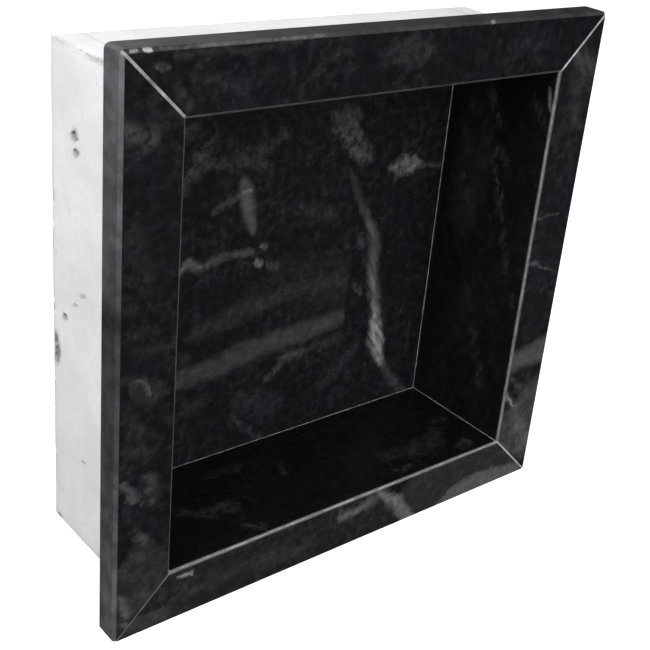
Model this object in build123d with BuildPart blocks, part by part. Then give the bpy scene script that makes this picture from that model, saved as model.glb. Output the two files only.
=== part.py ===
from build123d import *
import math
import os

# A recessed wall shelf, or shower niche, made of dark polished stone slab: a five-sided box that
# goes into a hole in the wall, and a mitred flange of four strips that laps over the hole's edge.
# The box's front ends are mitred to the flange, every joint is filled with pale epoxy, and the
# outside of the box has a pale cement coat.
#
# Millimetres. +X is to the right, +Y goes into the wall and +Z is up. The origin is the centre of
# the hole in the plane of the finished wall, which is also the plane of the flange's back.

# Driving dimensions
OPENING = 305.0  # clear width and height of the recess, 12 in
INNER_DEPTH = 102.5  # from the flange's front to the back panel, about 4 in
SLAB = 18.0  # thickness of every stone
FLANGE_WIDTH = 41.0  # face width of each flange strip
ARRIS = 2.0  # 45 degree bevel on the flange's polished edges
CORNER_RADIUS = 4.0  # easing of the flange's outer corners
PANEL_SEAM = 0.8  # epoxy between the box's slabs
EDGE_SEAM = 1.0  # epoxy in the mitre between the flange and the box
FLANGE_SEAMS = {"top": 1.8, "bottom": 1.3}  # epoxy in the flange's upper and lower mitres
COAT_SIDE = 2.0  # cement coat on the box's left and right
COAT_THIN = 1.0  # cement coat on its top, bottom and rear
COAT_MARGIN = 3.0  # stone left bare behind the flange, for the sealant
COAT_EASING = 0.8  # radius on the coat's outer edges

# Places that follow from them
INNER = OPENING / 2  # inner faces of the box, from the centre
STONE_SIDE = INNER + SLAB  # outer faces of the stone box
FLANGE_EDGE = INNER + FLANGE_WIDTH  # outer edges of the flange
FRONT = -SLAB  # the flange's front face
PANEL_FRONT = FRONT + INNER_DEPTH  # the back panel's face
STONE_REAR = PANEL_FRONT + SLAB  # the rear of the stone box
BEVEL_SHIFT = EDGE_SEAM / 2 * math.sqrt(2)  # half the mitre's seam, measured along X or Z

OUTWARD = {
    "left": Vector(-1, 0, 0),
    "right": Vector(1, 0, 0),
    "top": Vector(0, 0, 1),
    "bottom": Vector(0, 0, -1),
}
INTO_WALL = Vector(0, 1, 0)
UPRIGHT_SIDES = ("left", "right")
LEVEL_SIDES = ("top", "bottom")
CORNERS = [(level, upright) for level in LEVEL_SIDES for upright in UPRIGHT_SIDES]


def side_plane(side, along=0.0):
    """Plane across one side of the box: local X points outward, local Y into the wall."""
    outward = OUTWARD[side]
    normal = outward.cross(INTO_WALL)
    return Plane(origin=normal * along, x_dir=outward, z_dir=normal)


def front_plane(depth):
    """Plane that faces the room, at a depth measured from the finished wall."""
    return Plane.XZ.offset(-depth)


def neighbours(side):
    """The two sides that a side meets at its corners."""
    return LEVEL_SIDES if side in UPRIGHT_SIDES else UPRIGHT_SIDES


def mitre_plane(side, other, shift):
    """Corner mitre between two sides. Its normal points to the first, and shift moves it there."""
    normal = (OUTWARD[side] - OUTWARD[other]).normalized()
    return Plane(origin=normal * shift, z_dir=normal)


def flange_seam(side, other):
    """Width of the epoxy in the flange's mitre where two sides meet."""
    return FLANGE_SEAMS[side] if side in LEVEL_SIDES else FLANGE_SEAMS[other]


def slab_section(rear):
    """Corners of one side of the box in section, with its front end mitred and arrised."""
    return [
        (INNER, FRONT + ARRIS),
        (INNER + (ARRIS - BEVEL_SHIFT) / 2, FRONT + (ARRIS + BEVEL_SHIFT) / 2),
        (STONE_SIDE, BEVEL_SHIFT),
        (STONE_SIDE, rear),
        (INNER, rear),
    ]


def edge_seam_section():
    """Corners of the epoxy between the flange and the box in section."""
    return [
        (INNER + (ARRIS - BEVEL_SHIFT) / 2, FRONT + (ARRIS + BEVEL_SHIFT) / 2),
        (INNER + (ARRIS + BEVEL_SHIFT) / 2, FRONT + (ARRIS - BEVEL_SHIFT) / 2),
        (STONE_SIDE + BEVEL_SHIFT, 0),
        (STONE_SIDE, BEVEL_SHIFT),
    ]


def square_funnel(front_half, front_depth, rear_half, rear_depth):
    """Tapered square plug, the shape of a hole with sloping sides."""
    with BuildPart() as funnel:
        with BuildSketch(front_plane(front_depth)):
            Rectangle(2 * front_half, 2 * front_half)
        with BuildSketch(front_plane(rear_depth)):
            Rectangle(2 * rear_half, 2 * rear_half)
        loft()
    return funnel.part


def save(part, label):
    part.label = label
    export_step(part, f"parts/{label}.step")


os.makedirs("parts", exist_ok=True)

# The flange as one ring, before it is cut at its corners
mitred_opening = square_funnel(INNER + BEVEL_SHIFT, FRONT, STONE_SIDE + BEVEL_SHIFT, 0)
arrised_opening = square_funnel(INNER + ARRIS, FRONT, INNER, FRONT + ARRIS)
with BuildPart() as flange_ring:
    with BuildSketch(front_plane(0)):
        RectangleRounded(2 * FLANGE_EDGE, 2 * FLANGE_EDGE, CORNER_RADIUS)
    extrude(amount=SLAB)
    chamfer(flange_ring.faces().sort_by(Axis.Y)[0].edges(), ARRIS)
    add([mitred_opening, arrised_opening], mode=Mode.SUBTRACT)

# Flange strips, mitred at both ends
for side in OUTWARD:
    with BuildPart() as flange_strip:
        add(flange_ring.part)
        for other in neighbours(side):
            split(bisect_by=mitre_plane(side, other, flange_seam(side, other) / 2), keep=Keep.TOP)
    save(flange_strip.part, f"flange_{side}")

# Epoxy in the flange's four mitres
for level, upright in CORNERS:
    half_seam = flange_seam(level, upright) / 2
    toward_corner = OUTWARD[level] + OUTWARD[upright]
    with BuildPart() as flange_mitre:
        add(flange_ring.part)
        split(bisect_by=Plane(origin=(0, 0, 0), z_dir=toward_corner), keep=Keep.TOP)
        split(bisect_by=mitre_plane(level, upright, half_seam), keep=Keep.BOTTOM)
        split(bisect_by=mitre_plane(upright, level, half_seam), keep=Keep.BOTTOM)
    save(flange_mitre.part, f"flange_mitre_seam_{level}_{upright}")

# Side walls: full height and full depth, with the mitred front end bevelled at top and bottom too
for side in UPRIGHT_SIDES:
    with BuildPart() as wall:
        with BuildSketch(side_plane(side)):
            Polygon(*slab_section(STONE_REAR), align=None)
        extrude(amount=STONE_SIDE, both=True)
        for other in LEVEL_SIDES:
            normal = (OUTWARD[other] - INTO_WALL).normalized()
            reach = (STONE_SIDE - BEVEL_SHIFT) / math.sqrt(2)
            split(bisect_by=Plane(origin=normal * reach, z_dir=normal), keep=Keep.BOTTOM)
    save(wall.part, f"wall_{side}")

# Ceiling and shelf: between the side walls, in front of the back panel
for side, name in (("top", "ceiling"), ("bottom", "shelf")):
    with BuildPart() as level_slab:
        with BuildSketch(side_plane(side)):
            Polygon(*slab_section(PANEL_FRONT - PANEL_SEAM), align=None)
        extrude(amount=INNER - PANEL_SEAM, both=True)
    save(level_slab.part, name)

# Back panel: between the side walls, over the rear edges of the ceiling and the shelf
with BuildPart() as back_panel:
    with BuildSketch(front_plane(PANEL_FRONT)):
        Rectangle(2 * (INNER - PANEL_SEAM), 2 * STONE_SIDE)
    extrude(amount=-SLAB)
save(back_panel.part, "back_panel")

# Epoxy between the flange and the box, along each edge of the opening
for side in OUTWARD:
    with BuildPart() as edge_seam:
        with BuildSketch(side_plane(side)):
            Polygon(*edge_seam_section(), align=None)
        extrude(amount=FLANGE_EDGE, both=True)
        for other in neighbours(side):
            split(bisect_by=mitre_plane(side, other, 0), keep=Keep.TOP)
    save(edge_seam.part, f"edge_seam_{side}")

# Epoxy at the ends of the ceiling and the shelf, against the side walls
for level, upright in CORNERS:
    along = side_plane(level).z_dir.dot(OUTWARD[upright])
    with BuildPart() as corner_seam:
        with BuildSketch(side_plane(level, along * INNER)):
            Polygon(*slab_section(PANEL_FRONT), align=None)
        extrude(amount=-along * PANEL_SEAM)
    save(corner_seam.part, f"corner_seam_{level}_{upright}")

# Epoxy between the back panel and the side walls
for side in UPRIGHT_SIDES:
    with BuildPart() as back_seam:
        with BuildSketch(side_plane(side)):
            with Locations((INNER - PANEL_SEAM, PANEL_FRONT)):
                Rectangle(PANEL_SEAM, SLAB, align=(Align.MIN, Align.MIN))
        extrude(amount=STONE_SIDE, both=True)
    save(back_seam.part, f"back_seam_{side}")

# Epoxy between the back panel and the ceiling and the shelf
for side in LEVEL_SIDES:
    with BuildPart() as back_seam:
        with BuildSketch(side_plane(side)):
            with Locations((INNER, PANEL_FRONT)):
                Rectangle(SLAB, PANEL_SEAM, align=(Align.MIN, Align.MAX))
        extrude(amount=INNER - PANEL_SEAM, both=True)
    save(back_seam.part, f"back_seam_{side}")

# Cement coat over the outside of the box
with BuildPart() as cement_coat:
    with BuildSketch(front_plane(COAT_MARGIN)):
        Rectangle(2 * (STONE_SIDE + COAT_SIDE), 2 * (STONE_SIDE + COAT_THIN))
    extrude(amount=-(STONE_REAR + COAT_THIN - COAT_MARGIN))
    deep_edges = cement_coat.edges().filter_by(Axis.Y)
    rear_edges = cement_coat.faces().sort_by(Axis.Y)[-1].edges()
    fillet(deep_edges + rear_edges, COAT_EASING)
    with BuildSketch(front_plane(COAT_MARGIN)):
        Rectangle(2 * STONE_SIDE, 2 * STONE_SIDE)
    extrude(amount=-(STONE_REAR - COAT_MARGIN), mode=Mode.SUBTRACT)
save(cement_coat.part, "cement_coat")
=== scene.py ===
import math
import random

import bmesh
import bpy
from mathutils import Matrix, Quaternion, Vector, noise


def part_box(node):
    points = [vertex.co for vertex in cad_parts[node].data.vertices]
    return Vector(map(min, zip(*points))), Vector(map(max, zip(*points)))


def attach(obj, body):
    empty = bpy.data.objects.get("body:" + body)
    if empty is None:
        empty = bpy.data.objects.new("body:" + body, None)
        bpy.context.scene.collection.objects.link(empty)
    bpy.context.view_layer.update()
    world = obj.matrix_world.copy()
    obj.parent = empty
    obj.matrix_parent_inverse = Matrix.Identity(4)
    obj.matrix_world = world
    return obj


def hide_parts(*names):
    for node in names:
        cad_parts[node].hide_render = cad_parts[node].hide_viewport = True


# Looks of the recessed stone wall niche. Blender units are metres, in the CAD frame: +X right,
# +Y into the wall, +Z up, origin at the centre of the hole in the wall's face. Stone patterns and
# chips are given in millimetres, because that is how they are measured on the slabs.

MM = 0.001
SMOOTH_ANGLE = math.radians(35)

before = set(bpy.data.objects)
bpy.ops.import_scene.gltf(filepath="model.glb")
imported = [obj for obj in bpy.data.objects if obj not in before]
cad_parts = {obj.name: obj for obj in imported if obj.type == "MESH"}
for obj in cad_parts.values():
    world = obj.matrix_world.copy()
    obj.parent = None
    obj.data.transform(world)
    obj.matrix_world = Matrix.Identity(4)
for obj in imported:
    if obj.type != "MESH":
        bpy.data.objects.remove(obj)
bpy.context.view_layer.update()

# Places taken from the CAD frame, in millimetres
FLANGE_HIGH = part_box("flange_left")[1] / MM
WALL_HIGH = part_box("wall_left")[1] / MM
COAT_LOW, COAT_HIGH = (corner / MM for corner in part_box("cement_coat"))
FLANGE_EDGE = FLANGE_HIGH.z  # the flange's outer edges, from the centre
OPENING = -WALL_HIGH.x  # the opening's edges, from the centre
STONE_SIDE = WALL_HIGH.z  # outer faces of the stone box, from the centre
STONE_REAR = WALL_HIGH.y  # rear of the stone box


class Tree:
    """Short calls that build a shader node tree. Each one returns an output socket."""

    def __init__(self, tree):
        self.tree = tree

    def node(self, kind, **settings):
        made = self.tree.nodes.new("ShaderNode" + kind)
        for name, value in settings.items():
            setattr(made, name, value)
        return made

    def put(self, socket, value):
        if isinstance(value, bpy.types.NodeSocket):
            self.tree.links.new(value, socket)
        else:
            socket.default_value = value

    def fill(self, node, **values):
        for name, value in values.items():
            self.put(node.inputs[name.replace("_", " ")], value)

    def math(self, operation, *values, clamp=False):
        made = self.node("Math", operation=operation, use_clamp=clamp)
        for socket, value in zip(made.inputs, values):
            self.put(socket, value)
        return made.outputs[0]

    def vector(self, operation, *values):
        made = self.node("VectorMath", operation=operation)
        for socket, value in zip(made.inputs, values):
            self.put(socket, value)
        return made.outputs["Value" if operation in ("DOT_PRODUCT", "LENGTH") else "Vector"]

    def scaled(self, place, factor):
        made = self.node("VectorMath", operation="SCALE")
        self.put(made.inputs[0], place)
        self.fill(made, Scale=factor)
        return made.outputs["Vector"]

    def fit(self, value, low, high, to_low=0.0, to_high=1.0, smooth=True):
        """Maps low..high to to_low..to_high, clamped."""
        made = self.node("MapRange", interpolation_type="SMOOTHSTEP" if smooth else "LINEAR")
        self.fill(made, Value=value, From_Min=low, From_Max=high, To_Min=to_low, To_Max=to_high)
        return made.outputs["Result"]

    def noise(self, place, size, detail=3.0, roughness=0.5, output="Fac"):
        """Noise whose largest features are about size millimetres across."""
        made = self.node("TexNoise")
        self.fill(made, Vector=place, Scale=1 / size, Detail=detail, Roughness=roughness)
        return made.outputs[output]

    def cells(self, place, size, output="Distance"):
        """Cells about size millimetres across."""
        made = self.node("TexVoronoi")
        self.fill(made, Vector=place, Scale=1 / size)
        return made.outputs[output]

    def curve(self, value, points):
        """A smooth curve through (value, result) points, level beyond its ends."""
        made = self.node("FloatCurve")
        made.mapping.use_clip = False
        made.mapping.extend = "HORIZONTAL"
        line = made.mapping.curves[0].points
        line[0].location, line[1].location = points[0], points[-1]
        for spot in points[1:-1]:
            line.new(*spot)
        for knot in line:
            knot.handle_type = "AUTO_CLAMPED"
        made.mapping.update()
        self.fill(made, Value=value)
        return made.outputs[0]

    def mix(self, share, one, other):
        made = self.node("Mix", data_type="RGBA")
        self.put(made.inputs[0], share)
        self.put(made.inputs[6], one)
        self.put(made.inputs[7], other)
        return made.outputs[2]


def grey(tone, warmth=0.0):
    """A linear colour: warmth above 0 leans to cream, below 0 to blue."""
    return (tone * (1 + max(warmth, 0.0)), tone, tone * (1 - warmth), 1.0)


WHITE = grey(0.45, -0.02)
CREAM = grey(0.40, 0.03)
OLIVE = (0.20, 0.19, 0.14, 1.0)
BLUE = grey(0.30, -0.14)
SEED_STEP = Vector((137, 59, 211))  # moves the noise of one piece away from the next one's


class Surface(Tree):
    """A material for one piece, with its place in millimetres and its surface direction."""

    def __init__(self, name, seed=0):
        self.material = bpy.data.materials.new(name)
        self.material.use_nodes = True
        super().__init__(self.material.node_tree)
        self.shader = self.tree.nodes["Principled BSDF"]
        coordinates = self.node("TexCoord")
        self.place = self.scaled(coordinates.outputs["Object"], 1 / MM)
        self.facing = coordinates.outputs["Normal"]
        self.grain = self.vector("ADD", self.place, SEED_STEP * seed)

    def split(self, vector):
        made = self.node("SeparateXYZ")
        self.put(made.inputs[0], vector)
        return made.outputs

    def bump(self, height, depth):
        """Depth in millimetres between height 0 and height 1."""
        made = self.node("Bump")
        self.fill(made, Height=height, Strength=1.0, Distance=depth * MM)
        self.put(self.shader.inputs["Normal"], made.outputs["Normal"])


# ---------------------------------------------------------------- polished stone

STONE_IOR = 1.54
POLISHED_ROUGHNESS = 0.10
POLISH_SPREAD = 0.07  # how much rougher the most worn patches are
DULL_ROUGHNESS = 0.34  # polish of the shelf and the right wall
HONED_ROUGHNESS = 0.42
SAWN_ROUGHNESS = 0.75
SAWN_TONE = 0.26  # sawn faces are dusty with cement
ARRIS = grey(0.095, -0.05)  # colour of the honed edges round the flange and the opening
EDGE_TINT = (0.98, 1.0, 1.07)  # slightly blue
HONED_EDGE = 0.05  # tone of the flange's outer edges, which are honed and not polished
TOP_EDGE = 0.030  # the same for the top strip, which is darker
RELIEF = 0.08  # depth of the roughness of honed and sawn faces
POLISH_RIPPLE = 0.25  # how far the polish is from flat, over the relief
CRYSTALS = 0.045  # share of white in the ground's small crystals
VEIN_END = -1.0  # half width that puts a vein out beyond its ends
STRAND = 4.0  # length of a vein's strands over their width


class Stone(Surface):
    """Polished near-black stone. Veins are drawn in the slab's own plane, in millimetres."""

    def __init__(self, name, plane, seed, tone=1.0, polish=POLISHED_ROUGHNESS):
        super().__init__(name, seed)
        self.plane = plane
        self.polish = polish
        self.lay_ground(tone)

    def lay_ground(self, tone):
        """Black ground with a pale mottle that comes and goes, bluish in places, and crystals."""
        patches = self.fit(self.noise(self.grain, 30, 3, 0.6), 0.35, 0.68, 0.35, 1.0)
        mottle = self.fit(self.noise(self.grain, 7, 6, 0.66), 0.38, 0.74)
        mottle = self.math("MULTIPLY", mottle, patches)
        bluish = self.fit(self.noise(self.grain, 26, 3), 0.42, 0.64)
        dark = self.mix(bluish, grey(0.0064 * tone, -0.10), grey(0.0068 * tone, -0.36))
        pale = self.mix(bluish, grey(0.0235 * tone, -0.03), grey(0.0225 * tone, -0.24))
        ground = self.mix(mottle, dark, pale)
        crystals = self.fit(self.noise(self.grain, 2.6, 2, 0.5), 0.56, 0.76)
        crystals = self.math("MULTIPLY", crystals, mottle)
        self.colour = self.mix(self.math("MULTIPLY", crystals, CRYSTALS), ground, WHITE)

    def drawn_out(self, lean, width, length):
        """Noise in strands that lean this many degrees up from the slab's first axis."""
        first, second = ("xyz".index(axis) for axis in self.plane)
        along, across = Vector(), Vector()
        along[first], along[second] = math.cos(math.radians(lean)), math.sin(math.radians(lean))
        across[first], across[second] = -along[second], along[first]
        flat = self.node("CombineXYZ")
        self.fill(flat, X=self.vector("DOT_PRODUCT", self.grain, along * (width / length)))
        self.fill(flat, Y=self.vector("DOT_PRODUCT", self.grain, across))
        return self.noise(flat.outputs[0], width, 4, 0.6)

    def vein(self, strength, points, place, softness, so_far):
        """One vein through (across, up, half width) points. It runs mostly along one axis of the
        slab, and its centre and its half width are curves over that axis."""
        spans = [max(p[axis] for p in points) - min(p[axis] for p in points) for axis in (0, 1)]
        main = 0 if spans[0] >= spans[1] else 1
        points = sorted(points, key=lambda p: p[main])
        first, last = points[0], points[-1]
        ends = (first[main] - first[2], last[main] + last[2])
        centre_line = [(p[main], p[1 - main]) for p in points]
        widths = [(ends[0], VEIN_END)] + [(p[main], p[2]) for p in points] + [(ends[1], VEIN_END)]
        centre = self.curve(place[main], centre_line)
        half_width = self.curve(place[main], widths)
        stray = self.math("ABSOLUTE", self.math("SUBTRACT", place[1 - main], centre))
        within = self.math("SUBTRACT", half_width, stray)
        fade = min(softness, max(p[2] for p in points))
        return self.math("MAXIMUM", so_far, self.fit(within, 0.0, fade, 0.0, strength))

    def vein_share(
        self, veins, waver=2.0, ripple=12.0, softness=20.0, fluff=7.0, solid=0.4, lean=None, limit=None
    ):
        """Share of veins of one kind. waver is how far they stray and ripple over what length,
        softness how wide their edges fade, fluff the size of the crystals that break them up,
        solid how little they are broken, and lean the direction of their strands."""
        drift = self.noise(self.grain, ripple, 4, 0.65, "Color")
        drift = self.vector("SUBTRACT", drift, (0.5, 0.5, 0.5))
        strayed = self.vector("ADD", self.place, self.scaled(drift, 4 * waver))
        x, y, z = self.split(strayed)
        place = [{"x": x, "y": y, "z": z}[axis] for axis in self.plane]
        share = 0.0
        for strength, points in veins:
            share = self.vein(strength, points, place, softness, share)
        if lean is None:
            crystals = self.noise(self.grain, fluff, 6, 0.7)
        else:
            crystals = self.drawn_out(lean, fluff, STRAND * fluff)
        crystals = self.fit(crystals, 0.36, 0.64, solid, 1.3, smooth=False)
        share = self.math("MULTIPLY", share, crystals, clamp=True)
        if limit is not None:
            share = self.math("MULTIPLY", share, self.fit(place[0], *limit, 1.0, 0.0))
        return share

    def veins(self, tint, veins, **habit):
        """Lays veins of one tint over the colour. habit is what vein_share takes."""
        self.colour = self.mix(self.vein_share(veins, **habit), self.colour, tint)

    def finish(self, sawn, edge=None, marks=0.0):
        """Polish, with honed arrises, rough sawn faces where the slab was never polished, the
        tone of the outer edges if it has any, and the share of white marks over it all."""
        arris = self.arris()
        scuffs = self.fit(self.noise(self.grain, 9, 5, 0.7), 0.30, 0.70, 0.35, 1.0)
        colour = self.mix(self.math("MULTIPLY", arris, scuffs), self.colour, ARRIS)
        honed = arris
        if edge is not None:
            outer = self.outer_edge()
            colour = self.mix(outer, colour, self.edge_colour(edge))
            honed = self.math("MAXIMUM", arris, outer)
        colour = self.mix(sawn, colour, grey(SAWN_TONE))
        colour = self.mix(marks, colour, WHITE)
        wear = self.noise(self.grain, 14, 5, 0.7)
        polish = self.fit(wear, 0.3, 0.7, self.polish, self.polish + POLISH_SPREAD)
        roughness = self.fit(honed, 0.0, 1.0, polish, HONED_ROUGHNESS)
        roughness = self.fit(sawn, 0.0, 1.0, roughness, SAWN_ROUGHNESS)
        honed_height = self.math("MULTIPLY", self.noise(self.grain, 1.6, 3), honed)
        sawn_height = self.math("MULTIPLY", self.noise(self.grain, 1.1, 4), sawn)
        ripple = self.math("MULTIPLY", self.noise(self.grain, 35, 1), POLISH_RIPPLE)
        height = self.math("ADD", self.math("ADD", honed_height, sawn_height), ripple)
        self.bump(height, RELIEF)
        self.put(self.shader.inputs["Base Color"], colour)
        self.put(self.shader.inputs["Roughness"], roughness)
        self.shader.inputs["IOR"].default_value = STONE_IOR
        return self.material

    def arris(self):
        """Share of the slab that faces both forwards and sideways, as only its arrises do."""
        facing = self.split(self.vector("ABSOLUTE", self.facing))
        across = self.math("ADD", facing[0], facing[2])
        return self.fit(self.math("MULTIPLY", across, facing[1]), 0.25, 0.40)

    def edge_colour(self, tone):
        """Cloudy, slightly blue grey of this tone."""
        cloudy = self.fit(self.noise(self.grain, 16, 6, 0.7), 0.30, 0.70, 0.62, 1.38)
        shade = self.node("CombineColor")
        for socket, tint in zip(shade.inputs, EDGE_TINT):
            self.put(socket, self.math("MULTIPLY", self.math("MULTIPLY", cloudy, tint), tone))
        return shade.outputs[0]

    def outer_edge(self):
        """Share of the flange that is one of its four outer edge faces."""
        x, y, z = self.split(self.vector("ABSOLUTE", self.place))
        return self.fit(self.math("MAXIMUM", x, z), FLANGE_EDGE - 0.5, FLANGE_EDGE - 0.2)

    def behind_flange(self):
        """Share of the flange that is its unpolished back."""
        return self.fit(self.split(self.place)[1], -0.4, -0.1)

    def outside_box(self):
        """Share of a box slab that is on the outside of the box."""
        x, y, z = self.split(self.vector("ABSOLUTE", self.place))
        side = self.fit(self.math("MAXIMUM", x, z), STONE_SIDE - 1.0, STONE_SIDE - 0.3)
        rear = self.fit(y, STONE_REAR - 1.0, STONE_REAR - 0.3)
        return self.math("MAXIMUM", side, rear)


def dress(node, material):
    """Gives a CAD node its material."""
    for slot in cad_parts[node].material_slots:
        slot.material = material


# The veins of each slab. A vein is its strength and its (across, up, half width) points, in
# millimetres, and the two axes that they lie along are the slab's plane.


def flange_top():
    stone = Stone("flange top stone", "xz", 1, tone=0.72)
    stone.veins(BLUE, [
        (0.05, [(-14, 178, 10), (6, 178, 14), (24, 178, 10)]),
        (0.02, [(95, 172, 8), (135, 178, 11)]),
        (0.025, [(-60, 184, 7), (-40, 180, 6)]),
        (0.02, [(-150, 176, 8), (-120, 168, 10), (-96, 176, 8)]),
    ], waver=4, solid=0.3)
    stone.veins(WHITE, [
        (0.09, [(-172, 183, 4), (-167, 182.5, 4.5)]),
        (0.035, [(-160, 172, 5), (-152, 160, 6)]),
        (0.03, [(-160, 189, 5), (-120, 189, 4), (-80, 190, 4)]),
    ], waver=2, fluff=4, solid=0.2)
    chips = stone.vein_share([
        (0.6, [(-188, 192.5, 1.6), (-184, 192.6, 1.6)]),
        (0.8, [(-179.5, 192.4, 1.8), (-175.5, 192.4, 1.8)]),
        (0.12, [(-170, 192.5, 1.5), (-60, 192.5, 1.5)]),
        (0.45, [(76.5, 192.5, 1.8), (79, 192.7, 1.8)]),
    ], waver=0.5, ripple=4, fluff=5, solid=0.0)
    in_front = stone.fit(stone.split(stone.facing)[1], -0.55, -0.25, 1.0, 0.0)
    chips = stone.math("MULTIPLY", chips, in_front)
    return stone.finish(stone.behind_flange(), TOP_EDGE, chips)


def flange_left():
    stone = Stone("flange left stone", "xz", 2, tone=0.75)
    stone.veins(CREAM, [
        (0.026, [(-186, 0, 8), (-182, -8, 14), (-170, -16, 14)]),
        (0.012, [(-186, -22, 8), (-180, -36, 10)]),
        (0.026, [(-174, -134, 24), (-174, -150, 30), (-178, -188, 26)]),
    ], waver=4, softness=9, solid=0.8)
    stone.veins(WHITE, [
        (0.07, [(-190, 152, 10), (-176, 145, 11)]),
        (0.014, [(-184, 90, 12), (-172, 60, 10)]),
        (0.10, [(-178, -2, 3.5), (-170, -14, 3.5)]),
        (0.022, [(-184, -48, 10), (-170, -56, 9)]),
        (0.10, [(-188, -74, 6), (-180, -84, 6.5), (-176, -90, 5)]),
        (0.06, [(-172, -70, 7), (-166, -90, 8)]),
        (0.07, [(-182, -110, 6), (-174, -118, 7)]),
        (0.045, [(-180, -128, 6), (-176, -134, 5)]),
        (0.12, [(-188, -160, 7), (-182, -172, 7)]),
        (0.18, [(-184, -180, 6), (-178, -186, 7)]),
        (0.05, [(-172, -162, 7), (-166, -178, 8)]),
    ], waver=4, fluff=6, solid=0.1)
    z = stone.split(stone.place)[2]
    # The edge's grey is its honed tone plus a painted reflection: lighter towards the top and the
    # bottom, darkest a little above the middle.
    edge = stone.curve(z, [
        (-185, 0.078), (-60, 0.042), (22, 0.034), (38, 0.022), (52, 0.050), (74, 0.060), (185, 0.080),
    ])
    return stone.finish(stone.behind_flange(), edge)


def flange_right():
    stone = Stone("flange right stone", "xz", 3, tone=0.95)
    # Painted reflection of a bright strip: a cream band across the strip, laid in as a vein.
    stone.veins(CREAM, [
        (0.115, [(150, -82, 12), (172, -78, 14), (196, -76, 16)]),
    ], waver=2.5, softness=10, fluff=5, solid=0.7)
    stone.veins(CREAM, [
        (0.085, [(160, -150, 38), (194, -136, 46)]),
        (0.02, [(176, 150, 20), (180, 130, 20)]),
    ], waver=4, solid=0.5)
    stone.veins(WHITE, [
        (0.12, [(152, 5, 2.6), (163, 3, 3.0), (170, -2, 2.2), (186, -8, 1.6)]),
        (0.07, [(154, 43, 2), (178, 41, 2.4)]),
        (0.34, [(149, -101, 3), (154, -109, 4.5), (160, -117, 4), (168, -124, 3)]),
        (0.09, [(157, -112, 6), (168, -126, 9), (180, -150, 12), (188, -175, 10)]),
        (0.07, [(158, -96, 5), (168, -106, 5)]),
        (0.065, [(160, 168, 10), (176, 160, 15), (188, 152, 13)]),
        (0.02, [(160, 104, 12), (176, 118, 14), (188, 104, 10)]),
    ], waver=3, solid=0.2, lean=-55)
    return stone.finish(stone.behind_flange(), HONED_EDGE)


def flange_bottom():
    stone = Stone("flange bottom stone", "xz", 4, tone=0.85)
    # Painted reflection of bright strips: the cream clouds along the strip, laid in as veins.
    stone.veins(CREAM, [
        (0.16, [(94, -193, 9), (118, -188, 14), (150, -188, 15), (180, -190, 13)]),
        (0.011, [(-170, -172, 28), (-60, -172, 28), (20, -172, 26), (44, -180, 18)]),
        (0.028, [(62, -170, 20), (100, -172, 26), (150, -172, 28), (190, -176, 28)]),
        (0.05, [(-184, -184, 11), (-156, -186, 10)]),
    ], waver=4, softness=8, solid=0.85)
    stone.veins(WHITE, [
        (0.28, [(-146, -160, 3), (-136, -160, 3.6)]),
        (0.17, [(-8, -164, 7), (8, -164, 7)]),
        (0.11, [(8, -163, 8), (24, -161, 8)]),
        (0.22, [(28, -156, 9), (40, -166, 11), (50, -178, 11.5), (60, -191, 11)]),
        (0.02, [(-150, -178, 6), (-90, -174, 8), (-30, -180, 6)]),
    ], waver=3, softness=11, solid=0.55)
    return stone.finish(stone.behind_flange(), HONED_EDGE)


def wall_right():
    stone = Stone("right wall stone", "yz", 5, tone=0.42, polish=DULL_ROUGHNESS)
    stone.veins(WHITE, [
        (0.085, [(43, 120, 6), (37, 110, 7), (31, 99, 6)]),
        (0.06, [(60, 106, 8), (52, 103, 8)]),
        (0.075, [(34, 72, 7), (29, 79, 8)]),
        (0.05, [(24, 82, 8), (18, 72, 8)]),
        (0.07, [(28, 67, 6), (25, 58, 6)]),
        (0.08, [(22, 50, 6), (20, 42, 6)]),
        (0.035, [(19, 38, 6), (14, 28, 6), (9, 12, 6), (2, -8, 6)]),
        (0.03, [(-6, -26, 5), (-8, -34, 5)]),
        (0.06, [(60, 52, 4.5), (60, 46, 4.5)]),
        (0.035, [(68, 88, 8), (60, 72, 9)]),
        (0.03, [(52, 40, 8), (50, 22, 8)]),
        (0.028, [(39, -38, 8), (34, -52, 8)]),
        (0.032, [(26, -70, 7), (22, -82, 7)]),
        (0.032, [(18, -92, 8), (11, -110, 8)]),
        (0.035, [(4, 132, 7), (-8, 114, 6)]),
    ], waver=4.5, ripple=9, fluff=4, solid=-0.2, lean=-70)
    # Painted light: a broad, faint bluish patch that lightens the upper rear of the wall, where little
    # light falls.
    stone.veins(BLUE, [
        (0.028, [(66, 138, 22), (54, 96, 30), (54, 40, 28), (56, 4, 16)]),
    ], waver=5, solid=0.7)
    stone.veins(OLIVE, [
        (0.09, [(44, 124, 7), (40, 114, 7)]),
        (0.09, [(46, 92, 7), (36, 92, 6), (44, 82, 7)]),
    ], waver=3, solid=0.2)
    stone.veins(WHITE, [
        (0.22, [(-11, 140, 2.4), (-13.5, 130, 3.2), (-15, 124, 2.5)]),
    ], waver=0.8)
    return stone.finish(stone.outside_box())


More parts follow.
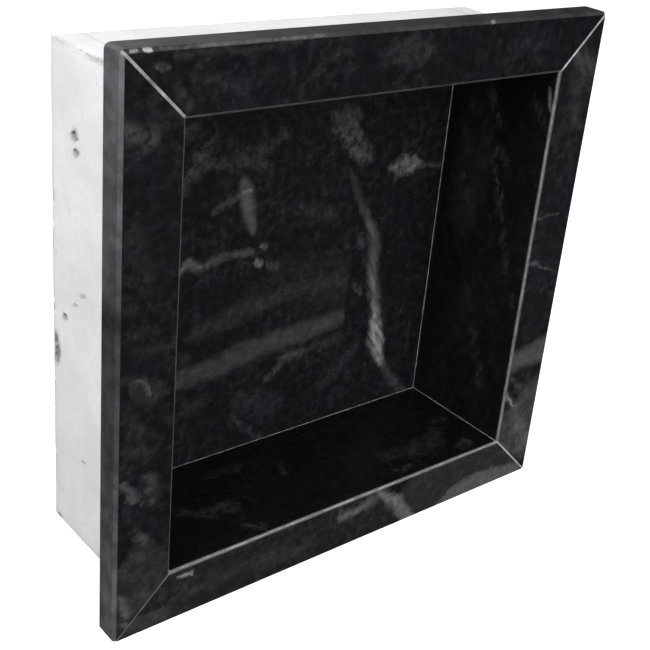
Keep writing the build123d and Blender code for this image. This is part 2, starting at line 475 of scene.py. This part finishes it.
def shelf():
    stone = Stone("shelf stone", "xy", 6, tone=0.22, polish=DULL_ROUGHNESS)
    stone.veins(WHITE, [
        (0.05, [(-112, 32, 10), (-98, 24, 11), (-80, 22, 11)]),
        (0.06, [(-82, -2, 6), (-76, -9, 8)]),
        (0.02, [(-76, 62, 6), (-46, 60, 7)]),
        (0.03, [(-24, 36, 5), (-16, 48, 5)]),
        (0.03, [(58, 14, 12), (98, 8, 16), (122, 22, 14)]),
        (0.04, [(54, -8, 5), (66, -7, 5)]),
        (0.04, [(120, -8, 6), (132, -4, 7)]),
        (0.03, [(128, 30, 6), (138, 32, 7)]),
    ], waver=4, solid=0.1)
    return stone.finish(stone.outside_box())


def back_panel():
    stone = Stone("back panel stone", "xz", 7, tone=0.88)
    back_panel_painted_reflections(stone)
    back_panel_flecks(stone)
    back_panel_main_vein(stone)
    back_panel_small_veins(stone)
    return stone.finish(stone.outside_box())


def back_panel_painted_reflections(stone):
    """Painted reflections of bright strips: two broad bands and a faint third, ending at one line
    across the slab.
    """
    stone.veins(OLIVE, [
        (0.022, [(-24, -18, 10), (8, -11, 14), (62, -15, 14)]),
        (0.028, [(28, -42, 12), (50, -42, 16), (66, -42, 16)]),
        (0.06, [(42, 104, 12), (58, 101, 11)]),
    ], waver=3, solid=0.6, limit=(61, 68))
    stone.veins(CREAM, [
        (0.078, [
            (-92, -79, 10), (-60, -77, 13), (-34, -72, 14),
            (0, -68.5, 13), (30, -66.5, 12), (70, -62, 11),
        ]),
    ], waver=2, ripple=12, softness=10, fluff=5, solid=0.55, limit=(62, 67))
    stone.veins(CREAM, [
        (0.034, [(-76, -46, 10), (-40, -37, 13), (-20, -33, 12), (20, -29, 12), (72, -29, 13)]),
        (0.045, [(4, -85, 6), (30, -84, 6), (68, -80, 7)]),
    ], waver=3, softness=11, fluff=6, solid=0.35, limit=(61, 68))


def back_panel_flecks(stone):
    """Pale and bluish patches of crystals that belong to no vein."""
    stone.veins(WHITE, [
        (0.08, [(-92, 66, 13), (-80, 78, 12), (-72, 92, 11), (-64, 102, 8)]),
        (0.07, [(-90, 104, 9), (-80, 108, 8)]),
        (0.055, [(-68, 82, 8), (-50, 79, 8), (-22, 76, 8)]),
        (0.05, [(-46, 82, 9), (-26, 86, 10), (-6, 94, 8)]),
        (0.03, [(14, 36, 10), (32, 30, 11), (46, 26, 9)]),
    ], waver=5, ripple=8, fluff=4, solid=0.0)
    stone.veins(BLUE, [
        (0.10, [(-4, -97, 8), (8, -86, 8), (24, -84, 7)]),
        (0.06, [(48, -118, 11), (62, -110, 12), (80, -94, 9)]),
        (0.07, [(-36, -124, 7), (-24, -138, 7), (-12, -150, 7)]),
        (0.05, [(-88, -70, 9), (-80, -62, 8)]),
        (0.04, [(-78, -106, 11), (-64, -102, 11)]),
        (0.04, [(-30, -112, 16), (0, -124, 16)]),
    ], waver=4, ripple=9, fluff=6, solid=0.1)


def back_panel_main_vein(stone):
    """A soft cloud at the top, then one vein that widens into bright strands lower down."""
    stone.veins(WHITE, [
        (0.10, [(46, 94, 15), (56, 86, 19), (68, 72, 16)]),
        (0.045, [(38, 102, 9), (56, 103, 10)]),
        (0.12, [(58, 76, 10), (72, 68, 9)]),
    ], waver=5, ripple=9, softness=14, fluff=6, solid=0.0)
    stone.veins(WHITE, [
        (0.095, [
            (57, 60, 4), (66, 40, 5.5), (76, 22, 7), (85, 6, 8.5), (89, -10, 9), (90, -28, 8.5),
            (93, -44, 9), (96, -58, 9), (100, -76, 10), (103, -94, 9), (108, -112, 7), (113, -122, 5),
        ]),
    ], waver=2, ripple=12, softness=8, fluff=5, solid=0.35, lean=-62)
    stone.veins(WHITE, [
        (0.05, [(74, 26, 4), (84, 6, 7), (88, -8, 8), (89, -20, 8)]),
        (0.15, [(87, -24, 6), (90, -34, 8), (93, -48, 9), (96, -56, 7)]),
        (0.42, [
            (94, -50, 3), (97, -64, 6.5), (99, -78, 9),
            (101, -92, 11), (104, -105, 10), (109, -118, 5),
        ]),
    ], waver=2.4, ripple=9, softness=9, fluff=5, solid=0.08, lean=-58)
    stone.veins(BLUE, [
        (0.085, [(109, -112, 7), (118, -127, 9), (130, -142, 11), (138, -152, 11)]),
    ], waver=3, softness=9, fluff=5, solid=0.4)
    stone.veins(WHITE, [
        (0.05, [(73, 4, 6), (76, -4, 6)]),
        (0.06, [(73, -38, 5), (80, -46, 5)]),
    ], waver=2, fluff=4, solid=0.2)


def back_panel_small_veins(stone):
    """The lens with its cross line, the cluster with its tail, and the crooked vein."""
    stone.veins(WHITE, [
        (0.12, [(-38.5, 66, 7), (-36, 54, 9), (-33, 40, 8.5), (-29, 24, 5)]),
        (0.07, [(-39, 64, 5), (-37, 56, 7), (-35, 48, 5)]),
        (0.24, [(-38.5, 57.5, 4), (-34, 57, 4)]),
    ], waver=1.4, softness=8, fluff=9, solid=0.6)
    stone.veins(WHITE, [
        (0.20, [(99, 55, 9), (111, 55, 11.5), (122, 56, 10)]),
    ], waver=4, ripple=7, softness=9, fluff=5, solid=0.0)
    stone.veins(WHITE, [
        (0.07, [(-62, 47, 5), (-56, 50, 5.5), (-42, 55, 5)]),
        (0.18, [(-89, 5, 6), (-82, 11, 7), (-72, 7, 6)]),
        (0.11, [(-74, 6, 6), (-62, 9, 6), (-42, 11, 5.5), (-29, 10, 5.5)]),
        (0.25, [(-23.5, 1, 4.8), (-21, 0, 4.8)]),
        (0.12, [(-20, 13, 4), (-17, 12, 4)]),
        (0.05, [(-13, -3, 6), (-6, -5, 6)]),
        (0.10, [(122, 56, 5), (136, 53, 4), (153, 50.5, 4)]),
    ], waver=1.8, ripple=7, fluff=4, solid=0.35)


def hidden_slab(name, plane, seed):
    """A slab with one long vein of its own, for a face that is seen only from other sides."""
    stone = Stone(name, plane, seed, tone=0.8)
    stone.veins(WHITE, [
        (0.12, [(-20, -120, 4), (20, -60, 6), (30, 10, 5), (60, 70, 7), (70, 150, 4)]),
        (0.05, [(50, -130, 8), (60, -70, 10), (84, -10, 8)]),
    ], waver=5, ripple=30, fluff=4, solid=0.3)
    return stone.finish(stone.outside_box())


def ceiling():
    stone = Stone("ceiling stone", "xy", 8, tone=0.8)
    stone.veins(WHITE, [
        (0.10, [(-140, 20, 4), (-70, 40, 6), (0, 34, 5), (60, 60, 7), (150, 70, 4)]),
        (0.05, [(-60, 0, 8), (20, 10, 10), (90, -8, 8)]),
    ], waver=5, ripple=30, fluff=4, solid=0.3)
    return stone.finish(stone.outside_box())


dress("flange_top", flange_top())
dress("flange_left", flange_left())
dress("flange_right", flange_right())
dress("flange_bottom", flange_bottom())
dress("wall_right", wall_right())
dress("wall_left", hidden_slab("left wall stone", "yz", 9))
dress("shelf", shelf())
dress("ceiling", ceiling())
dress("back_panel", back_panel())


# ---------------------------------------------------------------- epoxy in the joints

EPOXY_RELIEF = 0.10


def epoxy(name, tone, seed, dirty_sides):
    """Pale filled joint, matt and slightly dirty. It can be dirtier where it faces sideways."""
    surface = Surface(name, seed)
    dirt = surface.fit(surface.noise(surface.grain, 11, 5, 0.7), 0.32, 0.68)
    colour = surface.mix(dirt, grey(tone * 0.45, 0.02), grey(tone * 1.2, 0.01))
    if dirty_sides:
        side = surface.fit(surface.split(surface.facing)[1], -0.8, -0.5)
        colour = surface.mix(side, colour, grey(tone * 0.35))
    surface.put(surface.shader.inputs["Base Color"], colour)
    roughness = surface.fit(surface.noise(surface.grain, 5, 3), 0.3, 0.7, 0.45, 0.7)
    surface.put(surface.shader.inputs["Roughness"], roughness)
    surface.bump(surface.noise(surface.grain, 1.2, 4, 0.6), EPOXY_RELIEF)
    return surface.material


SEAM_TONES = {  # the photo's seams are not equally pale
    "flange_mitre_seam_top_left": 0.25,
    "flange_mitre_seam_top_right": 0.36,
    "flange_mitre_seam_bottom_right": 0.38,
    "flange_mitre_seam_bottom_left": 0.10,
    "edge_seam_top": 0.08,
    "edge_seam_left": 0.12,
    "edge_seam_right": 0.18,
    "edge_seam_bottom": 0.25,
    "back_seam_bottom": 0.40,
    "back_seam_right": 0.30,
    "corner_seam_bottom_right": 0.34,
}
INNER_SEAM_TONE = 0.22  # the other joints inside the niche
FIRST_SEAM_SEED = 20
seams = sorted(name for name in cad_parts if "seam" in name)
for number, seam in enumerate(seams):
    tone = SEAM_TONES.get(seam, INNER_SEAM_TONE)
    on_flange = "mitre" in seam
    dress(seam, epoxy(f"epoxy {number}", tone, FIRST_SEAM_SEED + number, on_flange))


# ---------------------------------------------------------------- cement coat

COAT_PITCH = 4.0  # mesh pitch of the coat
COAT_WAVE = 0.30  # how unevenly the coat was trowelled
COAT_WAVE_LENGTHS = (38, 13)  # of the broad waves and the small ones on them
COAT_ROUNDING = 0.45  # how far its outer edges are drawn in
COAT_RAGGED = 2.5  # how far its front edge wanders away from the flange
COAT_RAGGED_LENGTH = 16  # and over what length
COAT_RELIEF = 0.35  # depth of the trowel's ridges and the pinholes
PINHOLE_PITCH = 3.0
PIT_DEPTH = 7.0  # deep enough to bare the stone
CHIP_LUMPS = 0.45  # how uneven the outline of a chip is
STAIN_REACH = 1.9  # how much wider than a pit its stain is
SIDE_PITS = (  # y, z, half width, half height and turn of each pit in the left side
    (73, 118, 3.8, 3.2, 0.2),
    (70.5, 108, 3.2, 2.3, 0.2),
    (86, -8, 3.0, 2.1, 0.5),
    (96, -169, 2.8, 1.4, 0.3),
    (99, -31, 3.2, 5.5, 0.15),
    (97, -37, 3.8, 6.0, 0.0),
    (98, -43, 3.2, 5.0, -0.2),
)
STAIN_DRIFT = 5  # how far noise moves a stain's outline
STAIN_SLANT = 0.25  # how far a stain drops for each millimetre towards the rear
SIDE_SMUDGES = (  # y, z, half width and half height of each scrape that left only a stain
    (62, 16.5, 6.5, 2.6),
    (72, 6.5, 5.5, 2.0),
    (61, -105.5, 4.5, 2.2),
    (102.5, 70, 4, 8),
    (102.5, 38, 3, 4),
    (102.5, -6, 4, 5),
    (102.5, -62, 3, 6),
)
REAR_EDGE_CHIPS = (72, 66, 52, -4, -10, -60, -84, -120)  # heights on the left rear edge
CHIP_SEED = 7
AIR_HOLES = 26  # in the faces that the photo hides


def cement():
    """Pale grey cement, trowelled and dusty, with smears and fine pinholes."""
    surface = Surface("cement coat", 40)
    cloud = surface.fit(surface.noise(surface.grain, 60, 4, 0.6), 0.3, 0.7)
    fine = surface.fit(surface.noise(surface.grain, 3.5, 6, 0.7), 0.25, 0.75)
    stretched = surface.vector("MULTIPLY", surface.grain, (0.35, 1.0, 0.55))
    trowelled = surface.noise(stretched, 11, 6, 0.7)
    holes = pinholes(surface)
    layers = (  # share, strength and colour, from the lowest up
        (fine, 0.35, grey(0.58)),
        (smears(surface), 0.30, grey(0.42, 0.02)),
        (holes, 0.6, grey(0.25)),
        (top_joints(surface), 0.45, grey(0.45, -0.08)),
        (surface.fit(trowelled, 0.52, 0.72), 0.22, grey(0.50, 0.01)),
        (stains(surface), 0.55, grey(0.24)),
        (worn_edges(surface), 0.85, grey(0.36, 0.02)),
        (broken(surface), 1.0, grey(0.36)),
    )
    colour = surface.mix(cloud, grey(0.66, -0.01), grey(0.76, -0.015))
    for share, strength, tint in layers:
        colour = surface.mix(surface.math("MULTIPLY", share, strength), colour, tint)
    surface.put(surface.shader.inputs["Base Color"], colour)
    surface.put(surface.shader.inputs["Roughness"], surface.fit(fine, 0.0, 1.0, 0.75, 0.95))
    height = surface.math("ADD", surface.noise(surface.grain, 7, 6, 0.7), trowelled)
    surface.bump(surface.math("SUBTRACT", height, holes), COAT_RELIEF)
    surface.shader.inputs["Specular IOR Level"].default_value = 0.3
    return surface.material


def smears(surface):
    """Share of the coat that is smeared darker, in streaks that run towards the rear."""
    wipe = surface.vector("MULTIPLY", surface.grain, (1.0, 0.25, 1.0))
    return surface.fit(surface.noise(wipe, 14, 5, 0.65), 0.60, 0.80)


def pinholes(surface):
    """Share of the coat that is a pinhole: the middles of a few cells, chosen by their colour."""
    middles = surface.fit(surface.cells(surface.grain, PINHOLE_PITCH), 0.06, 0.16, 1.0, 0.0)
    choice = surface.split(surface.cells(surface.grain, PINHOLE_PITCH, "Color"))[1]
    return surface.math("MULTIPLY", middles, surface.fit(choice, 0.90, 0.94))


def top_joints(surface):
    """Share of the coat's top that shows the joints between the ceiling and the side walls."""
    across = surface.math("ABSOLUTE", surface.split(surface.place)[0])
    away = surface.math("ABSOLUTE", surface.math("SUBTRACT", across, OPENING))
    on_top = surface.fit(surface.split(surface.facing)[2], 0.8, 0.95)
    return surface.math("MULTIPLY", surface.fit(away, 0.4, 2.2, 1.0, 0.0), on_top)


def from_sides(surface):
    """How far a point of the coat lies in from the box's sides, rear, and top or bottom."""
    place = surface.split(surface.vector("ABSOLUTE", surface.place))
    return [surface.math("SUBTRACT", COAT_HIGH[axis], place[axis]) for axis in range(3)]


def worn_edges(surface):
    """Share of the coat that is worn grey along the edges of the box, broken by noise."""
    side, rear, level = from_sides(surface)
    nearest = surface.math("ADD", side, level)
    nearest = surface.math("MINIMUM", nearest, surface.math("ADD", side, rear))
    nearest = surface.math("MINIMUM", nearest, surface.math("ADD", level, rear))
    patchy = surface.fit(surface.noise(surface.grain, 12, 4, 0.65), 0.35, 0.62, 0.1, 1.0)
    _, y, z = surface.split(surface.place)
    above = surface.fit(z, -150, -100, 0.15, 1.0)
    in_front = surface.fit(y, 40, 95, 1.0, 0.55)
    patchy = surface.math("MULTIPLY", patchy, surface.math("MULTIPLY", above, in_front))
    return surface.math("MULTIPLY", surface.fit(nearest, 1.2, 4.8, 1.0, 0.0), patchy)


def broken(surface):
    """Share of the coat that is a broken face, deeper than the trowel ever left it."""
    side, rear, level = from_sides(surface)
    deep = surface.math("MINIMUM", surface.math("MINIMUM", side, rear), level)
    deepest_trowelled = COAT_WAVE + COAT_ROUNDING
    return surface.fit(deep, deepest_trowelled, deepest_trowelled + 0.25)


def stains(surface):
    """Share of the left side that is stained grey round its pits and along old scrapes."""
    drift = surface.noise(surface.grain, 6, 3, 0.6, "Color")
    drift = surface.vector("SUBTRACT", drift, (0.5, 0.5, 0.5))
    drifted = surface.vector("ADD", surface.place, surface.scaled(drift, STAIN_DRIFT))
    x, y, z = surface.split(drifted)
    slanted = surface.math("MULTIPLY_ADD", y, STAIN_SLANT, z)
    share = 0.0
    halos = [(y, z, STAIN_REACH * wide, STAIN_REACH * high) for y, z, wide, high, _ in SIDE_PITS]
    for spot_y, spot_z, wide, high in halos + list(SIDE_SMUDGES):
        level = spot_z + STAIN_SLANT * spot_y
        across = surface.math("MULTIPLY_ADD", y, 1 / wide, -spot_y / wide)
        up = surface.math("MULTIPLY_ADD", slanted, 1 / high, -level / high)
        across = surface.math("MULTIPLY", across, across)
        far = surface.math("MULTIPLY_ADD", up, up, across)
        share = surface.math("MAXIMUM", share, surface.fit(far, 0.0, 1.0, 1.0, 0.0))
    on_left = surface.fit(x, COAT_LOW.x + 4, COAT_LOW.x + 6, 1.0, 0.0)
    return surface.math("MULTIPLY", share, on_left)


def open_box(mesh, low, high, counts, flip):
    """Five-sided box of quads, open towards the room. Returns its vertices by lattice index."""
    columns = [
        [start + (end - start) * step / count for step in range(count + 1)]
        for start, end, count in zip(low, high, counts)
    ]
    found = {}

    def vertex(i, j, k):
        if (i, j, k) not in found:
            found[i, j, k] = mesh.verts.new((columns[0][i], columns[1][j], columns[2][k]))
        return found[i, j, k]

    def quad(*corners):
        face = [vertex(*corner) for corner in corners]
        mesh.faces.new(face[::-1] if flip else face)

    across, deep, tall = counts
    for j in range(deep):
        for k in range(tall):
            quad((0, j, k), (0, j, k + 1), (0, j + 1, k + 1), (0, j + 1, k))
            quad((across, j, k), (across, j + 1, k), (across, j + 1, k + 1), (across, j, k + 1))
        for i in range(across):
            quad((i, j, 0), (i, j + 1, 0), (i + 1, j + 1, 0), (i + 1, j, 0))
            quad((i, j, tall), (i + 1, j, tall), (i + 1, j + 1, tall), (i, j + 1, tall))
    for i in range(across):
        for k in range(tall):
            quad((i, deep, k), (i, deep, k + 1), (i + 1, deep, k + 1), (i + 1, deep, k))
    return found


def coat_shell():
    """The coat as a closed shell: an uneven outside, and an inside that follows the stone."""
    mesh = bmesh.new()
    counts = [round((COAT_HIGH[axis] - COAT_LOW[axis]) / COAT_PITCH) for axis in range(3)]
    outer = open_box(mesh, COAT_LOW, COAT_HIGH, counts, flip=False)
    stone_low = Vector((-STONE_SIDE, COAT_LOW.y, -STONE_SIDE))
    stone_high = Vector((STONE_SIDE, STONE_REAR, STONE_SIDE))
    inner = open_box(mesh, stone_low, stone_high, counts, flip=True)
    across, _, tall = counts
    rim = [(i, 0) for i in range(across)] + [(across, k) for k in range(tall)]
    rim += [(i, tall) for i in range(across, 0, -1)] + [(0, k) for k in range(tall, 0, -1)]
    for (i, k), (i_next, k_next) in zip(rim, rim[1:] + rim[:1]):
        mesh.faces.new((
            outer[i, 0, k], outer[i_next, 0, k_next], inner[i_next, 0, k_next], inner[i, 0, k],
        ))
    shape_coat(outer, inner, counts)
    bmesh.ops.recalc_face_normals(mesh, faces=mesh.faces)
    return mesh


def shape_coat(outer, inner, counts):
    """Rounds the outside's edges, waves its faces inwards and makes its front edge ragged."""
    middle = (COAT_LOW + COAT_HIGH) / 2
    for (i, j, k), vertex in outer.items():
        at_side = i in (0, counts[0])
        at_level = k in (0, counts[2])
        at_rear = j == counts[1]
        broad, small = (noise.noise(vertex.co / length) for length in COAT_WAVE_LENGTHS)
        wave = (broad + 0.5 * small + 1) / 2
        dip = COAT_WAVE * min(1.0, max(0.0, wave))
        rounding = COAT_ROUNDING if at_side + at_level + at_rear > 1 else 0.0
        if at_side:
            vertex.co.x += math.copysign(dip + rounding, middle.x - vertex.co.x)
        if at_level:
            vertex.co.z += math.copysign(dip + rounding, middle.z - vertex.co.z)
        if at_rear:
            vertex.co.y -= dip + rounding
    for (i, j, k), vertex in list(outer.items()) + list(inner.items()):
        if j == 0:
            edge = noise.noise(Vector((i, 0, k)) * COAT_PITCH / COAT_RAGGED_LENGTH)
            vertex.co.y += COAT_RAGGED * (0.5 + 0.5 * edge)


def chip_cutter(mesh, place, size, turn=0.0):
    """A lumpy blob that knocks a chip out of the coat. size is its half extent on each axis."""
    made = bmesh.ops.create_icosphere(mesh, subdivisions=3, radius=1.0)
    spin = Matrix.Rotation(turn, 3, "X")
    for vertex in made["verts"]:
        swell = 1 + CHIP_LUMPS * noise.noise(vertex.co * 1.7 + place / 7)
        local = Vector([vertex.co[axis] * size[axis] * swell for axis in range(3)])
        vertex.co = spin @ local + place


def coat_chips():
    """All the chips of the coat as one cutting mesh, in millimetres."""
    mesh = bmesh.new()
    for y, z, half_y, half_z, turn in SIDE_PITS:
        chip_cutter(mesh, Vector((COAT_LOW.x, y, z)), (PIT_DEPTH, half_y, half_z), turn)
    dice = random.Random(CHIP_SEED)
    left_rear_chips(mesh, dice)
    left_top_chips(mesh, dice)
    top_rear_chips(mesh, dice)
    for _ in range(AIR_HOLES):
        air_hole(mesh, dice)
    return mesh


def left_rear_chips(mesh, dice):
    """Single chips in an edge that is otherwise whole."""
    for z in REAR_EDGE_CHIPS:
        spot = Vector((COAT_LOW.x + dice.uniform(-0.4, 0.6), COAT_HIGH.y, z + dice.uniform(-2, 2)))
        size = (dice.uniform(2.6, 3.6), dice.uniform(1.6, 3.0), dice.uniform(1.8, 4.0))
        chip_cutter(mesh, spot, size)


def left_top_chips(mesh, dice):
    """A worn edge all the way to the rear, worn deepest half way."""
    for y in range(8, 100, 3):
        reach = 2.3 if 36 < y < 64 else 1.7
        spot = Vector((COAT_LOW.x, y + dice.uniform(-2, 2), COAT_HIGH.z))
        size = (dice.uniform(1.2, reach), dice.uniform(1.0, 3.4), dice.uniform(1.0, reach))
        chip_cutter(mesh, spot, size)


def top_rear_chips(mesh, dice):
    """A worn edge that is worn most near its left end."""
    for x in range(-168, 168, 7):
        if dice.random() < (0.95 if x < -125 else 0.4):
            spot = Vector((x + dice.uniform(-3, 3), COAT_HIGH.y, COAT_HIGH.z))
            size = (dice.uniform(2, 5), dice.uniform(1.2, 2.4), dice.uniform(1.2, 2.0))
            chip_cutter(mesh, spot, size)


def air_hole(mesh, dice):
    """A small hole in the right side, the underside or the rear."""
    side = dice.choice(("right", "bottom", "rear", "rear"))
    small = dice.uniform(1.4, 3.6)
    along = dice.uniform(-160, 160)
    into = dice.uniform(12, 98)
    if side == "right":
        chip_cutter(mesh, Vector((-COAT_LOW.x, into, along)), (PIT_DEPTH, small, small * 0.7))
    elif side == "bottom":
        chip_cutter(mesh, Vector((along, into, -COAT_HIGH.z)), (small, small * 0.8, PIT_DEPTH))
    else:
        spot = Vector((along, COAT_HIGH.y, dice.uniform(-160, 160)))
        chip_cutter(mesh, spot, (small, PIT_DEPTH, small * 0.8))


def to_object(mesh, name):
    """An object in metres from a bmesh in millimetres."""
    bmesh.ops.scale(mesh, vec=(MM, MM, MM), verts=mesh.verts)
    data = bpy.data.meshes.new(name)
    mesh.to_mesh(data)
    mesh.free()
    made = bpy.data.objects.new(name, data)
    bpy.context.scene.collection.objects.link(made)
    return made


def cut(target, cutter):
    """Takes the cutter's shape out of the target, and removes the cutter."""
    modifier = target.modifiers.new("chips", "BOOLEAN")
    modifier.operation = "DIFFERENCE"
    modifier.solver = "EXACT"
    modifier.use_self = True
    modifier.object = cutter
    graph = bpy.context.evaluated_depsgraph_get()
    shaped = bpy.data.meshes.new_from_object(target.evaluated_get(graph))
    target.modifiers.clear()
    target.data = shaped
    bpy.data.objects.remove(cutter)


def smooth(target):
    target.data.shade_smooth()
    target.data.set_sharp_from_angle(angle=SMOOTH_ANGLE)


coat = to_object(coat_shell(), "cement_coat_trowelled")
cut(coat, to_object(coat_chips(), "coat_chips"))
smooth(coat)
coat.data.materials.clear()
coat.data.materials.append(cement())
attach(coat, "root")
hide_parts("cement_coat")


# ---------------------------------------------------------------- floor, light and camera

FLOOR_SIZE = 14.0
FLOOR_TONE = 0.95
FLOOR_GLOW = 0.45  # keeps the far floor and the shadows pale to the eye
FLOOR_BOUNCE = 0.35  # the floor's tone for the light it throws back at the stone
SURROUNDINGS = 1.0  # how bright the surroundings are to the eye
SURROUNDINGS_LIGHT = 0.60  # how much light they give
REFLECTED_FLOOR = 0.02  # the floor's tone in the polish
REFLECTED_SURROUNDINGS = 0.03  # how bright the surroundings are in the polish
REFLECTED_TINT = (0.86, 0.94, 1.2, 1.0)  # and their slightly blue tint there
LIGHTS = (  # name, place, size and power of each softbox
    ("side light", (-0.9, -0.3, 0.8), (0.7, 0.7), 12),
    ("front light", (0.1, -2.8, 0.9), (1.8, 1.8), 60),
    ("back light", (0.4, 2.4, 1.8), (2.0, 1.2), 13),
)
CAMERA_PLACE = Vector((-0.4948, -0.5503, 0.3486))
CAMERA_TARGET = Vector((0.0196, -0.0148, 0.0062))
CAMERA_ROLL = math.radians(6.89)
CAMERA_LENS = 65.99
CAMERA_SENSOR = 36.0
CAMERA_SHIFT = (-0.1041, -0.0436)


def make_floor():
    """Plain pale floor under the flange's lower edge. The polish mirrors it as a dim one."""
    mesh = bmesh.new()
    bmesh.ops.create_grid(mesh, x_segments=1, y_segments=1, size=FLOOR_SIZE / 2 / MM)
    floor = to_object(mesh, "floor")
    floor.location.z = -FLANGE_EDGE * MM
    material = bpy.data.materials.new("pale floor")
    material.use_nodes = True
    tree = Tree(material.node_tree)
    shader = material.node_tree.nodes["Principled BSDF"]
    path = tree.node("LightPath")
    tone = tree.fit(path.outputs["Is Glossy Ray"], 0.0, 1.0, FLOOR_TONE, REFLECTED_FLOOR)
    tone = tree.fit(path.outputs["Is Diffuse Ray"], 0.0, 1.0, tone, FLOOR_BOUNCE)
    tree.put(shader.inputs["Base Color"], tone)
    shader.inputs["Emission Color"].default_value = grey(1.0)
    glow = tree.fit(path.outputs["Is Camera Ray"], 0.0, 1.0, 0.0, FLOOR_GLOW)
    tree.put(shader.inputs["Emission Strength"], glow)
    shader.inputs["Roughness"].default_value = 0.9
    shader.inputs["Specular IOR Level"].default_value = 0.0
    floor.data.materials.append(material)


def make_surroundings():
    """Even pale light from all round, which the polish mirrors as a dim studio."""
    world = bpy.data.worlds.new("studio")
    bpy.context.scene.world = world
    world.use_nodes = True
    tree = Tree(world.node_tree)
    background = world.node_tree.nodes["Background"]
    path = tree.node("LightPath")
    glossy, diffuse = path.outputs["Is Glossy Ray"], path.outputs["Is Diffuse Ray"]
    tree.put(background.inputs["Color"], tree.mix(glossy, grey(1.0), REFLECTED_TINT))
    strength = tree.fit(glossy, 0.0, 1.0, SURROUNDINGS, REFLECTED_SURROUNDINGS)
    strength = tree.fit(diffuse, 0.0, 1.0, strength, SURROUNDINGS_LIGHT)
    tree.put(background.inputs["Strength"], strength)


def softbox(name, place, size, power):
    """A rectangular light that points at the centre."""
    light = bpy.data.lights.new(name, "AREA")
    light.shape = "RECTANGLE"
    light.size, light.size_y = size
    light.energy = power
    made = bpy.data.objects.new(name, light)
    made.location = place
    made.rotation_euler = (-Vector(place)).to_track_quat("-Z", "Y").to_euler()
    bpy.context.scene.collection.objects.link(made)


def make_camera():
    data = bpy.data.cameras.new("camera")
    data.lens = CAMERA_LENS
    data.sensor_width = CAMERA_SENSOR
    data.shift_x, data.shift_y = CAMERA_SHIFT
    camera = bpy.data.objects.new("camera", data)
    camera.location = CAMERA_PLACE
    level = (CAMERA_TARGET - CAMERA_PLACE).to_track_quat("-Z", "Y")
    camera.rotation_euler = (level @ Quaternion((0, 0, 1), CAMERA_ROLL)).to_euler()
    bpy.context.scene.collection.objects.link(camera)
    bpy.context.scene.camera = camera


make_floor()
make_surroundings()
for light in LIGHTS:
    softbox(*light)
make_camera()
bpy.context.scene.view_settings.view_transform = "Standard"
